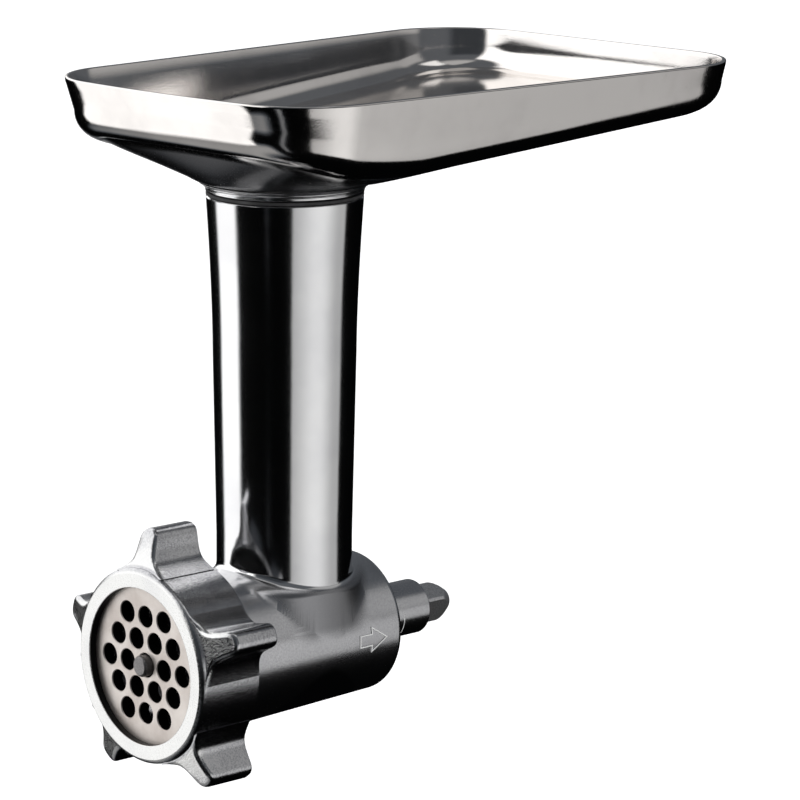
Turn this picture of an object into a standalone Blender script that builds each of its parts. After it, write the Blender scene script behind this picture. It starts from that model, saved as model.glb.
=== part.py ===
"""Meat grinder head: a cast body with its feed tube, the auger, knife, plate and ring nut that it
holds, and the tray that drops into the tube. The barrel lies along Y, the feed tube stands along Z,
and the origin is on the barrel axis at the rear shoulder."""

import math

import bmesh
import bpy
from mathutils import Matrix, Vector

for old in list(bpy.data.objects):
    bpy.data.objects.remove(old, do_unlink=True)

MM = 0.001
GAP = 0.3 * MM  # left between two pieces that touch or are pressed together
RUN_GAP = 0.5 * MM  # left round a piece that turns

# Grinding plate and knife
PLATE_R = 31.0 * MM
PLATE_T = 5.0 * MM
HOLE_ROWS = 5
HOLE_PITCH = (PLATE_R - 9.8 * MM) / 2
HOLE_R = (HOLE_PITCH - 2.6 * MM) / 2
PIN_R = 4.0 * MM
PIN_TIP_R = 3.1 * MM
KNIFE_R = PLATE_R - 3.5 * MM
KNIFE_T = 7.4 * MM
BLADE_T = 4.2 * MM
KNIFE_HUB_R = 9.0 * MM
KNIFE_BLADES = 4
STUD_SQUARE = 9.4 * MM
STUD_ROOT_R = 5.0 * MM
STUD_ROOT_L = 20.0 * MM

# Barrel
BARREL_REAR_R = 27.0 * MM
BARREL_TAPER = 0.03  # growth of the radius per length, towards the front
BARREL_EDGE = 3.0 * MM
BORE_R = BARREL_REAR_R - 3.1 * MM
REAR_WALL = 12.0 * MM
MOUTH_L = 35.4 * MM  # front face of the plate to the foot of the feed tube's fillet
MOUTH_EDGE = 0.6 * MM
PLATE_PROUD = 1.2 * MM  # how far the plate stands out of the mouth
KNIFE_ROOM_R = PLATE_R - 1.0 * MM
KEY_R = 1.5 * MM
KEY_L = 3.0 * MM
KEY_DEPTH = 1.1 * MM  # how far the key reaches over the rim of the plate

# Thread of the mouth and of the ring nut
THREAD_ROOT_R = PLATE_R + 2.0 * MM
THREAD_DEPTH = 1.1 * MM
THREAD_LEAD = 4.0 * MM
THREAD_TURNS = 3
THREAD_SPACE = 0.45 * MM

# Ring nut
RING_R = THREAD_ROOT_R + 3.6 * MM
RING_FACE_R = RING_R - 1.8 * MM
RING_OPEN_R = PLATE_R - 1.5 * MM
RING_LIP = 2.9 * MM
RING_W = 27.4 * MM
LOBES = 5
LOBE_R = RING_R + 14.1 * MM
LOBE_HALF_W = 4.6 * MM
LOBE_SLOPE = 4.5 * MM  # how far the front of a lobe falls back at its tip
LOBE_TURN = 2.7  # degrees, where the first lobe stops when the ring is tight

# Rear spigot and drive shank
SHANK_R = 7.6 * MM
SHANK_SQUARE = 2 * SHANK_R - 3.6 * MM
SPIGOT_R = SHANK_R + 3.0 * MM
SPIGOT_L = 29.0 * MM
SPIGOT_EDGE = 0.8 * MM
SHANK_L = 16.5 * MM
SHANK_NOSE = 8.0 * MM  # length over which the end of the shank closes in
SHANK_ROOT_R = SHANK_R - 1.9 * MM
SHANK_ROOT_L = 24.0 * MM
SHANK_TURN = 23.0  # degrees
BUSH_R = SHANK_R + 3.4 * MM
BUSH_L = 7.5 * MM
SEAL_L = 2.0 * MM
WASHER_R = BUSH_R + 3.0 * MM
WASHER_T = 1.4 * MM
CROSS_PIN_R = 1.5 * MM

# Auger
FLIGHT_R = BORE_R - RUN_GAP
FLIGHT_LEAD = 25.0 * MM
FLIGHT_HALF = 11.0  # degrees, half of the flight at its top
FLIGHT_FLANK = 17.0
CORE_REAR_R = SHANK_ROOT_R + 4.3 * MM
CORE_FRONT_R = STUD_ROOT_R + 7.5 * MM
CROSS_PIN_L = 2 * CORE_REAR_R - 3.0 * MM
AUGER_FRONT_SPACE = 14.0 * MM  # front face of the plate to the front of the auger

# Feed tube
FILLET = 6.0 * MM
TUBE_TOP = 168.5 * MM
TUBE_WAIST = TUBE_TOP - 58.5 * MM
TUBE_FOOT = BARREL_REAR_R + 13.0 * MM
TUBE_FOOT_R = BARREL_REAR_R - 1.4 * MM
TUBE_WAIST_R = TUBE_FOOT_R + 1.3 * MM
TUBE_TOP_R = TUBE_FOOT_R + 3.8 * MM
TUBE_BORE_R = TUBE_FOOT_R - 3.0 * MM
TUBE_SEAT_R = TUBE_TOP_R - 3.4 * MM
TUBE_SEAT_H = 13.5 * MM
TUBE_EDGE = 0.5 * MM
TUBE_BACK = TUBE_FOOT_R + FILLET + 5.4 * MM  # tube axis, ahead of the rear shoulder
BARREL_L = TUBE_BACK + TUBE_FOOT_R + FILLET + MOUTH_L

# Raised arrow on the side of the barrel
ARROW_TAIL = 23.0 * MM  # ahead of the rear shoulder
ARROW_NECK = 17.0 * MM
ARROW_TIP = 9.0 * MM
ARROW_HALF_H = 5.0 * MM
ARROW_TAIL_HALF_H = 2.4 * MM
ARROW_RISE = 0.8 * MM

# Tray
NECK_BORE_R = TUBE_SEAT_R - 2.0 * MM
NECK_FOOT_R = TUBE_TOP_R + 0.2 * MM
NECK_TOP_R = NECK_FOOT_R + 2.4 * MM
NECK_COLLAR_H = 3.4 * MM
SEAL_RING_H = 1.2 * MM
TRAY_RIM_Z = TUBE_TOP + 43.5 * MM
TRAY_FRONT_W = 140.0 * MM
TRAY_REAR_W = 167.0 * MM
TRAY_FRONT = 60.0 * MM  # tube axis to the front side
TRAY_REAR = 178.0 * MM
TRAY_TURN = 3.9  # degrees, how the loose tray stands on the tube
TRAY_BOW = 5.0 * MM
FRONT_CORNER = 30.0 * MM
REAR_CORNER = 34.0 * MM
SHEET = 1.2 * MM
BEAD = 0.6 * MM
DRAFT_FRONT = 3.4 * MM  # how far the wall leans in, from the rim to the bend
DRAFT_REAR = 1.4 * MM
WALL_BEND = 8.5 * MM
FLOOR_LOW_Z = TUBE_TOP + 13.1 * MM  # underside of the floor at the wall, level with the tube axis
FLOOR_FRONT_Z = TUBE_TOP + 20.8 * MM
FLOOR_REAR_Z = TUBE_TOP + 25.5 * MM

ROUND = 64  # sides of the large round pieces
SMALL_ROUND = 32

PLATE_Y = -BARREL_L
MOUTH_Y = PLATE_Y + PLATE_PROUD
PLATE_BACK_Y = PLATE_Y + PLATE_T
RING_FRONT_Y = PLATE_Y - GAP - RING_LIP
RING_BACK_Y = RING_FRONT_Y + RING_W
AUGER_FRONT_Y = PLATE_Y + AUGER_FRONT_SPACE
AUGER_REAR_Y = -REAR_WALL - GAP - WASHER_T - GAP
THREAD_FRONT_Y = MOUTH_Y + 1.0 * MM
SEAL_RING_Z = TUBE_TOP + GAP
COLLAR_Z = SEAL_RING_Z + SEAL_RING_H + GAP
PAN_Z = COLLAR_Z + NECK_COLLAR_H + GAP


def material(name, colour, metallic, roughness):
    mat = bpy.data.materials.new(name)
    mat.use_nodes = True
    shader = mat.node_tree.nodes["Principled BSDF"]
    shader.inputs["Base Color"].default_value = (*colour, 1.0)
    shader.inputs["Metallic"].default_value = metallic
    shader.inputs["Roughness"].default_value = roughness
    mat.diffuse_color = (*colour, 1.0)
    return mat


def add_object(name, verts, faces, mat=None):
    mesh = bpy.data.meshes.new(name)
    mesh.from_pydata([tuple(v) for v in verts], [], faces)
    bm = bmesh.new()
    bm.from_mesh(mesh)
    bmesh.ops.recalc_face_normals(bm, faces=bm.faces)
    bm.to_mesh(mesh)
    bm.free()
    obj = bpy.data.objects.new(name, mesh)
    bpy.context.scene.collection.objects.link(obj)
    if mat:
        mesh.materials.append(mat)
    return obj


def smooth(obj, angle=35.0):
    bpy.ops.object.select_all(action="DESELECT")
    obj.select_set(True)
    bpy.context.view_layer.objects.active = obj
    bpy.ops.object.shade_smooth_by_angle(angle=math.radians(angle))


def along_y(radius, y, angle):
    return Vector((radius * math.cos(angle), y, radius * math.sin(angle)))


def along_z(radius, z, angle):
    return Vector((radius * math.cos(angle), -TUBE_BACK + radius * math.sin(angle), z))


def grid_faces(columns, rows, close_rows):
    """Quads of a grid whose columns run round; its rows close too when close_rows is set."""
    faces = []
    for i in range(columns):
        j_count = rows if close_rows else rows - 1
        for j in range(j_count):
            a = i * rows + j
            b = i * rows + (j + 1) % rows
            c = (i + 1) % columns * rows + (j + 1) % rows
            d = (i + 1) % columns * rows + j
            faces.append((a, b, c, d))
    return faces


def revolve(name, profile, place=along_y, sides=ROUND, mat=None, start=0.0):
    """A closed ring, or a solid whose profile starts and ends on the axis."""
    on_axis = profile[0][0] == 0.0
    ring = profile[1:-1] if on_axis else profile
    verts = []
    for i in range(sides):
        angle = start + 2 * math.pi * i / sides
        verts += [place(radius, t, angle) for radius, t in ring]
    rows = len(ring)
    faces = grid_faces(sides, rows, not on_axis)
    if on_axis:
        faces.append([i * rows for i in range(sides)])
        faces.append([i * rows + rows - 1 for i in range(sides)])
    obj = add_object(name, verts, faces, mat)
    smooth(obj)
    return obj


def hide(obj):
    obj.hide_render = True
    obj.display_type = "WIRE"
    return obj


def combine(obj, tool, operation="DIFFERENCE"):
    modifier = obj.modifiers.new(tool.name, "BOOLEAN")
    modifier.operation = operation
    modifier.solver = "EXACT"
    modifier.object = hide(tool)


def rod(name, radius, start, end, sides=SMALL_ROUND, mat=None):
    """A plain cylinder between two points."""
    axis = end - start
    turn = axis.to_track_quat("Z", "Y").to_matrix()
    verts = []
    for i in range(sides):
        angle = 2 * math.pi * i / sides
        offset = turn @ Vector((radius * math.cos(angle), radius * math.sin(angle), 0))
        verts += [start + offset, end + offset]
    faces = grid_faces(sides, 2, False)
    faces.append([2 * i for i in range(sides)])
    faces.append([2 * i + 1 for i in range(sides)])
    obj = add_object(name, verts, faces, mat)
    smooth(obj)
    return obj


def prism(name, outline, first, last, mat=None):
    """A flat outline of (x, z) points stretched along Y."""
    verts = [(x, first, z) for x, z in outline] + [(x, last, z) for x, z in outline]
    n = len(outline)
    faces = [(i, (i + 1) % n, n + (i + 1) % n, n + i) for i in range(n)]
    faces += [list(range(n)), list(range(n, 2 * n))]
    return add_object(name, verts, faces, mat)


def axis_mark(name, place, direction):
    mark = bpy.data.objects.new(name, None)
    mark.empty_display_type = "SINGLE_ARROW"
    mark.empty_display_size = 40 * MM
    mark.location = place
    mark.rotation_euler = direction.to_track_quat("Z", "Y").to_euler()
    bpy.context.scene.collection.objects.link(mark)


def barrel_radius(y):
    return BARREL_REAR_R - BARREL_TAPER * y


def thread_rows():
    step = THREAD_LEAD / 5
    count = round(THREAD_TURNS * THREAD_LEAD / step)
    return [THREAD_FRONT_Y + step * k for k in range(count + 1)]


def thread_wave(y, angle):
    """Height of the rounded thread at a place, from 0 at the root to 1 at the crest."""
    phase = 2 * math.pi * (y - THREAD_FRONT_Y) / THREAD_LEAD + angle
    return 0.5 - 0.5 * math.cos(phase)


def thread_fade(y):
    """The thread grows from nothing and dies away over half a turn at each end."""
    inside = min(y - THREAD_FRONT_Y, THREAD_FRONT_Y + THREAD_TURNS * THREAD_LEAD - y)
    return max(0.0, min(1.0, inside / (THREAD_LEAD / 2)))


cast_metal = material("cast_aluminium", (0.78, 0.79, 0.8), 1.0, 0.25)
ring_metal = material("machined_aluminium", (0.85, 0.85, 0.84), 1.0, 0.22)
sheet_metal = material("polished_sheet_steel", (0.8, 0.8, 0.78), 1.0, 0.08)
neck_metal = material("turned_aluminium", (0.8, 0.8, 0.8), 1.0, 0.18)
plate_metal = material("ground_steel_plate", (0.6, 0.58, 0.55), 1.0, 0.45)
knife_metal = material("hardened_steel_knife", (0.55, 0.55, 0.56), 1.0, 0.35)
auger_metal = material("cast_auger_aluminium", (0.7, 0.7, 0.71), 1.0, 0.4)
shank_metal = material("drive_shank_steel", (0.42, 0.42, 0.44), 1.0, 0.42)
stud_metal = material("stud_steel", (0.45, 0.45, 0.47), 1.0, 0.3)
pin_metal = material("cross_pin_steel", (0.5, 0.5, 0.52), 1.0, 0.3)
key_metal = material("key_steel", (0.5, 0.5, 0.5), 1.0, 0.3)
bush_plastic = material("acetal_bush", (0.86, 0.85, 0.8), 0.0, 0.45)
washer_plastic = material("acetal_washer", (0.82, 0.82, 0.78), 0.0, 0.45)
lip_rubber = material("shaft_seal_rubber", (0.03, 0.03, 0.03), 0.0, 0.7)
ring_rubber = material("tray_seal_rubber", (0.02, 0.02, 0.02), 0.0, 0.65)


# Body: barrel and spigot
def body_barrel():
    """The outside of the barrel and spigot, with the thread of the mouth, filled to the axis."""
    neck_y = THREAD_FRONT_Y + THREAD_TURNS * THREAD_LEAD + 2 * MM
    flare_y = neck_y + 12 * MM
    plain = []
    for k in range(5):
        share = k / 4
        blend = share * share * (3 - 2 * share)
        y = neck_y + (flare_y - neck_y) * share
        plain.append((THREAD_ROOT_R + (barrel_radius(flare_y) - THREAD_ROOT_R) * blend, y))
    for k in range(4):
        turn = math.pi / 2 * k / 3
        y = -BARREL_EDGE * (1 - math.sin(turn))
        plain.append((barrel_radius(y) - BARREL_EDGE * (1 - math.cos(turn)), y))
    plain += [(SPIGOT_R, 0.0), (SPIGOT_R, SPIGOT_L - SPIGOT_EDGE)]
    plain.append((SPIGOT_R - SPIGOT_EDGE, SPIGOT_L))
    mouth = [(THREAD_ROOT_R - MOUTH_EDGE, MOUTH_Y)]
    rows = thread_rows()
    verts = []
    for i in range(ROUND):
        angle = 2 * math.pi * i / ROUND
        verts += [along_y(r, y, angle) for r, y in mouth]
        for y in rows:
            height = THREAD_DEPTH * thread_wave(y, angle) * thread_fade(y)
            verts.append(along_y(THREAD_ROOT_R + height, y, angle))
        verts += [along_y(r, y, angle) for r, y in plain]
    count = len(mouth) + len(rows) + len(plain)
    faces = grid_faces(ROUND, count, False)
    faces.append([i * count for i in range(ROUND)])
    faces.append([i * count + count - 1 for i in range(ROUND)])
    return add_object("grinder_body", verts, faces, cast_metal)


# Body: feed tube with the fillet at its foot
def fillet_section(angle):
    """Points (distance from the tube axis, height) from the barrel up to the tube wall."""
    reach = TUBE_FOOT_R + FILLET
    radius = barrel_radius(-TUBE_BACK + reach * math.sin(angle)) - 0.3 * MM
    lean = max(abs(math.cos(angle)), 1e-4)
    low = 0.0
    high = math.pi / 2
    for _ in range(40):
        t = (low + high) / 2
        size = math.hypot(lean * math.sin(t), math.cos(t))
        if radius * math.sin(t) / lean + FILLET * lean * math.sin(t) / size < reach:
            low = t
        else:
            high = t
    size = math.hypot(lean * math.sin(t), math.cos(t))
    centre_z = radius * math.cos(t) + FILLET * math.cos(t) / size
    first = math.atan2(-math.cos(t) / size, -lean * math.sin(t) / size)
    steps = 5
    points = []
    for k in range(steps + 1):
        turn = first + (-math.pi - first) * k / steps
        points.append((reach + FILLET * math.cos(turn), centre_z + FILLET * math.sin(turn)))
    return points


def tube_radius(z):
    if z < TUBE_WAIST:
        share = (z - TUBE_FOOT) / (TUBE_WAIST - TUBE_FOOT)
        return TUBE_FOOT_R + (TUBE_WAIST_R - TUBE_FOOT_R) * share
    share = (z - TUBE_WAIST) / (TUBE_TOP - TUBE_WAIST)
    return TUBE_WAIST_R + (TUBE_TOP_R - TUBE_WAIST_R) * share**1.6


def body_tube():
    heights = [TUBE_FOOT, TUBE_WAIST]
    heights += [TUBE_WAIST + (TUBE_TOP - TUBE_EDGE - TUBE_WAIST) * k / 4 for k in range(1, 5)]
    verts = []
    for i in range(ROUND):
        angle = 2 * math.pi * i / ROUND
        section = [(TUBE_FOOT_R - 2 * MM, 4 * MM)]
        section += fillet_section(angle)
        section += [(tube_radius(z), z) for z in heights]
        section.append((TUBE_TOP_R - TUBE_EDGE, TUBE_TOP))
        verts += [along_z(r, z, angle) for r, z in section]
    count = len(section)
    faces = grid_faces(ROUND, count, False)
    faces.append([i * count for i in range(ROUND)])
    faces.append([i * count + count - 1 for i in range(ROUND)])
    return add_object("body_tube", verts, faces)


def body_arrow():
    """A block arrow that stands a little out of the side of the barrel and points to the rear."""
    points = [(ARROW_TAIL, -ARROW_TAIL_HALF_H), (ARROW_NECK, -ARROW_TAIL_HALF_H)]
    points += [(ARROW_NECK, -ARROW_HALF_H), (ARROW_TIP, 0.0), (ARROW_NECK, ARROW_HALF_H)]
    points += [(ARROW_NECK, ARROW_TAIL_HALF_H), (ARROW_TAIL, ARROW_TAIL_HALF_H)]
    inner = BARREL_REAR_R - 3 * MM
    outer = BARREL_REAR_R + 5 * MM
    verts = [(inner, -y, z) for y, z in points] + [(outer, -y, z) for y, z in points]
    n = len(points)
    faces = [(i, (i + 1) % n, n + (i + 1) % n, n + i) for i in range(n)]
    faces += [list(range(n)), list(range(n, 2 * n))]
    arrow = add_object("body_arrow", verts, faces)
    ends = (-ARROW_TAIL - 5 * MM, -ARROW_TIP + 5 * MM)
    skin = [(0.0, ends[0])] + [(barrel_radius(y) + ARROW_RISE, y) for y in ends] + [(0.0, ends[1])]
    combine(arrow, revolve("arrow_skin", skin), "INTERSECT")
    return arrow


body = body_barrel()
combine(body, body_tube(), "UNION")
combine(body, body_arrow(), "UNION")

plate_seat_y = PLATE_BACK_Y + GAP
knife_room_y = AUGER_FRONT_Y - 1.5 * MM
bore_profile = [
    (0.0, MOUTH_Y - 1 * MM),
    (PLATE_R + GAP, MOUTH_Y - 1 * MM),
    (PLATE_R + GAP, plate_seat_y),
    (KNIFE_ROOM_R, plate_seat_y),
    (KNIFE_ROOM_R, knife_room_y),
    (BORE_R, knife_room_y + (KNIFE_ROOM_R - BORE_R)),
    (BORE_R, -REAR_WALL),
    (BUSH_R + GAP, -REAR_WALL),
    (BUSH_R + GAP, -REAR_WALL + SEAL_L + BUSH_L + 3 * GAP),
    (SHANK_R + RUN_GAP, -REAR_WALL + SEAL_L + BUSH_L + 3 * GAP),
    (SHANK_R + RUN_GAP, SPIGOT_L + 1 * MM),
    (0.0, SPIGOT_L + 1 * MM),
]
combine(body, revolve("barrel_bore", bore_profile))
tube_profile = [
    (0.0, 2 * MM),
    (TUBE_BORE_R, 2 * MM),
    (TUBE_BORE_R, TUBE_TOP - TUBE_SEAT_H - 2 * MM),
    (TUBE_SEAT_R, TUBE_TOP - TUBE_SEAT_H),
    (TUBE_SEAT_R, TUBE_TOP + 1 * MM),
    (0.0, TUBE_TOP + 1 * MM),
]
combine(body, revolve("tube_bore", tube_profile, along_z, 60))
key_y = (MOUTH_Y + plate_seat_y) / 2
key_tip = Vector((0, key_y, -(PLATE_R - KEY_DEPTH)))
key_end = key_tip - Vector((0, 0, KEY_L))
key_hole = rod("key_hole", KEY_R + GAP, key_tip, key_end - Vector((0, 0, 4 * MM)), 16)
combine(body, key_hole)
smooth(body, 30.0)
rod("plate_key", KEY_R, key_tip, key_end, 16, key_metal)

# Rear bearing
seal_y = -REAR_WALL + GAP
revolve(
    "shaft_seal",
    [
        (SHANK_R + GAP, seal_y + SEAL_L),
        (BUSH_R, seal_y + SEAL_L),
        (BUSH_R, seal_y),
        (SHANK_R + 1.5 * MM, seal_y),
        (SHANK_R + GAP, seal_y + 0.8 * MM),
    ],
    sides=SMALL_ROUND,
    mat=lip_rubber,
)
bush_y = seal_y + SEAL_L + GAP
revolve(
    "rear_bush",
    [
        (SHANK_R + GAP, bush_y),
        (SHANK_R + GAP, bush_y + BUSH_L),
        (BUSH_R, bush_y + BUSH_L),
        (BUSH_R, bush_y),
    ],
    sides=SMALL_ROUND,
    mat=bush_plastic,
)
washer_y = -REAR_WALL - GAP - WASHER_T
revolve(
    "thrust_washer",
    [
        (SHANK_R + GAP, washer_y),
        (WASHER_R, washer_y),
        (WASHER_R, washer_y + WASHER_T),
        (SHANK_R + GAP, washer_y + WASHER_T),
    ],
    sides=SMALL_ROUND,
    mat=washer_plastic,
)


# Auger: one flight wound round a core that thickens towards the plate
def auger():
    half = FLIGHT_HALF
    flank = FLIGHT_FLANK
    layers = 60
    length = AUGER_REAR_Y - AUGER_FRONT_Y
    angles = [-half - flank, -half - flank / 2, -half, 0.0, half, half + flank / 2, half + flank]
    heights = [0.0, 0.35, 1.0, 1.0, 1.0, 0.35, 0.0]
    gap_sides = 17
    rest = 360.0 - 2 * (half + flank)
    angles += [half + flank + rest * k / gap_sides for k in range(1, gap_sides)]
    heights += [0.0] * (gap_sides - 1)
    verts = []
    for layer in range(layers + 1):
        share = layer / layers
        y = AUGER_FRONT_Y + length * share
        core = CORE_FRONT_R + (CORE_REAR_R - CORE_FRONT_R) * share
        grow = min(1.0, share * layers / 3, (1 - share) * layers / 3)
        grow = 0.25 + 0.75 * grow
        twist = 2 * math.pi * (y - AUGER_FRONT_Y) / FLIGHT_LEAD
        for degrees, height in zip(angles, heights):
            radius = core + (FLIGHT_R - core) * height * grow
            verts.append(along_y(radius, y, math.radians(degrees) + twist))
    n = len(angles)
    faces = []
    for layer in range(layers):
        for i in range(n):
            a = layer * n + i
            b = layer * n + (i + 1) % n
            faces.append((a, b, b + n, a + n))
    faces.append(list(range(n)))
    faces.append(list(range(layers * n, (layers + 1) * n)))
    return add_object("auger_screw", verts, faces, auger_metal)


screw = auger()
stud_end_y = AUGER_FRONT_Y + STUD_ROOT_L
front = Vector((0, AUGER_FRONT_Y - 1 * MM, 0))
combine(screw, rod("stud_hole", STUD_ROOT_R + GAP, front, Vector((0, stud_end_y + GAP, 0)), 24))
root_end_y = AUGER_REAR_Y - SHANK_ROOT_L
rear = Vector((0, AUGER_REAR_Y + 1 * MM, 0))
combine(screw, rod("shank_hole", SHANK_ROOT_R + GAP, rear, Vector((0, root_end_y - GAP, 0)), 24))
cross_y = AUGER_REAR_Y - SHANK_ROOT_L / 2
cross = Vector((math.cos(math.radians(SHANK_TURN)), 0, math.sin(math.radians(SHANK_TURN))))
cross_at = Vector((0, cross_y, 0))
reach = cross * 30 * MM
combine(screw, rod("cross_hole", CROSS_PIN_R + GAP, cross_at - reach, cross_at + reach, 16))
smooth(screw, 40.0)
half_pin = cross * CROSS_PIN_L / 2
rod("shank_pin", CROSS_PIN_R, cross_at - half_pin, cross_at + half_pin, 16, pin_metal)

# Drive shank: a round journal whose end is milled square and pointed
shank_end = SPIGOT_L + SHANK_L
square_y = SPIGOT_L + GAP
shank = revolve(
    "drive_shank",
    [
        (0.0, root_end_y),
        (SHANK_ROOT_R, root_end_y),
        (SHANK_ROOT_R, AUGER_REAR_Y + GAP),
        (SHANK_R, AUGER_REAR_Y + GAP),
        (SHANK_R, square_y),
        (SHANK_R, shank_end - SHANK_NOSE),
        (SHANK_R * 0.9, shank_end - SHANK_NOSE * 0.6),
        (SHANK_R * 0.7, shank_end - SHANK_NOSE * 0.27),
        (SHANK_R * 0.42, shank_end),
        (0.0, shank_end),
    ],
    sides=SMALL_ROUND,
    mat=shank_metal,
)
for k in range(4):
    turn = Matrix.Rotation(-math.radians(SHANK_TURN + 45 + 90 * k), 4, "Y")
    block = prism(
        "shank_flat_%d" % (k + 1),
        [
            (SHANK_SQUARE / 2, -SHANK_R * 1.5),
            (SHANK_R * 1.5, -SHANK_R * 1.5),
            (SHANK_R * 1.5, SHANK_R * 1.5),
            (SHANK_SQUARE / 2, SHANK_R * 1.5),
        ],
        square_y,
        shank_end + 2 * MM,
    )
    block.data.transform(turn)
    combine(shank, block)
combine(shank, rod("shank_cross_hole", CROSS_PIN_R + GAP, cross_at - reach, cross_at + reach, 16))


# Stud: round root in the auger, square for the knife, round pin through the plate
def stud():
    sides = 32
    knife_front = PLATE_BACK_Y + GAP
    half = STUD_SQUARE / 2
    corner = half * 1.25
    tip_y = RING_FRONT_Y
    stations = [
        (STUD_ROOT_R, stud_end_y, False),
        (STUD_ROOT_R, AUGER_FRONT_Y - GAP, False),
        (corner, AUGER_FRONT_Y - GAP, True),
        (corner, knife_front, True),
        (PIN_R, knife_front, False),
        (PIN_R, tip_y + 1.2 * MM, False),
        (PIN_TIP_R, tip_y, False),
    ]
    verts = []
    for i in range(sides):
        angle = 2 * math.pi * (i + 0.5) / sides
        for radius, y, square in stations:
            if square:
                widest = max(abs(math.cos(angle)), abs(math.sin(angle)))
                radius = min(radius, half / widest)
            verts.append(along_y(radius, y, angle))
    count = len(stations)
    faces = grid_faces(sides, count, False)
    faces.append([i * count for i in range(sides)])
    faces.append([i * count + count - 1 for i in range(sides)])
    obj = add_object("knife_stud", verts, faces, stud_metal)
    smooth(obj)


stud()


# Knife: swept blades round a hub with a square hole
def knife():
    front_y = PLATE_BACK_Y + GAP
    hub = revolve(
        "knife",
        [
            (0.0, front_y),
            (KNIFE_HUB_R, front_y),
            (KNIFE_HUB_R, front_y + KNIFE_T),
            (0.0, front_y + KNIFE_T),
        ],
        sides=SMALL_ROUND,
        mat=knife_metal,
    )
    blades = bmesh.new()
    inner = KNIFE_HUB_R * 0.6
    for k in range(KNIFE_BLADES):
        start = 2 * math.pi * (k + 0.5) / KNIFE_BLADES
        outline = [(inner, -0.5), (inner, 0.5), (KNIFE_HUB_R * 1.25, 0.42)]
        outline += [(KNIFE_R * 0.8, 0.3), (KNIFE_R, 0.36), (KNIFE_R, 0.04)]
        outline += [(KNIFE_R * 0.7, -0.02), (KNIFE_HUB_R * 1.2, -0.3)]
        rings = []
        for y, narrow in ((front_y, 0.0), (front_y + BLADE_T, 0.05)):
            ring = []
            for radius, turn in outline:
                side = -1 if turn > 0.1 else 1
                spot = along_y(radius, y, start + turn + side * narrow)
                ring.append(blades.verts.new(spot))
            rings.append(ring)
        n = len(outline)
        for i in range(n):
            j = (i + 1) % n
            blades.faces.new((rings[0][i], rings[0][j], rings[1][j], rings[1][i]))
        blades.faces.new(rings[0])
        blades.faces.new(rings[1])
    bmesh.ops.recalc_face_normals(blades, faces=blades.faces)
    mesh = bpy.data.meshes.new("knife_blades")
    blades.to_mesh(mesh)
    blades.free()
    tool = bpy.data.objects.new("knife_blades", mesh)
    bpy.context.scene.collection.objects.link(tool)
    combine(hub, tool, "UNION")
    half = STUD_SQUARE / 2 + GAP
    square = [(half, -half), (half, half), (-half, half), (-half, -half)]
    combine(hub, prism("knife_square", square, front_y - 1 * MM, front_y + KNIFE_T + 1 * MM))


knife()


# Plate: rows of holes round the pin, and a slot in the rim for the key
def plate():
    chamfer = 0.4 * MM
    disc = revolve(
        "grinding_plate",
        [
            (0.0, PLATE_Y),
            (PLATE_R - chamfer, PLATE_Y),
            (PLATE_R, PLATE_Y + chamfer),
            (PLATE_R, PLATE_BACK_Y - chamfer),
            (PLATE_R - chamfer, PLATE_BACK_Y),
            (0.0, PLATE_BACK_Y),
        ],
        mat=plate_metal,
    )
    holes = bmesh.new()
    middle = HOLE_ROWS // 2
    for row in range(-middle, middle + 1):
        in_row = HOLE_ROWS - abs(row)
        for k in range(in_row):
            x = (k - (in_row - 1) / 2) * HOLE_PITCH
            z = row * HOLE_PITCH * math.sqrt(3) / 2
            radius = PIN_R + RUN_GAP if x == 0 and z == 0 else HOLE_R
            turn = Matrix.Rotation(math.pi / 2, 4, "X")
            place = Matrix.Translation((x, PLATE_Y + PLATE_T / 2, z)) @ turn
            bmesh.ops.create_cone(
                holes,
                cap_ends=True,
                segments=24,
                radius1=radius,
                radius2=radius,
                depth=2 * PLATE_T,
                matrix=place,
            )
    mesh = bpy.data.meshes.new("plate_holes")
    holes.to_mesh(mesh)
    holes.free()
    tool = bpy.data.objects.new("plate_holes", mesh)
    bpy.context.scene.collection.objects.link(tool)
    combine(disc, tool)
    half = KEY_R + GAP
    depth = PLATE_R - KEY_DEPTH - GAP
    slot = [(-half, -depth), (half, -depth), (half, -PLATE_R * 1.1), (-half, -PLATE_R * 1.1)]
    combine(disc, prism("plate_slot", slot, PLATE_Y - PLATE_T, PLATE_BACK_Y + PLATE_T))


plate()


# Ring nut: a threaded ring with five grip lobes
def lobe_outline():
    """Half widths against radius, from inside the ring to the rounded tip."""
    top = LOBE_R
    half = LOBE_HALF_W
    return [
        (half * 2.9, RING_R - 2.2 * MM),
        (half * 2.0, RING_R + 0.3 * MM),
        (half * 1.45, RING_R + 2.2 * MM),
        (half * 1.15, RING_R + 5.2 * MM),
        (half, top - 3.6 * MM),
        (half * 0.82, top - 1.4 * MM),
        (half * 0.45, top - 0.3 * MM),
    ]


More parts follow.
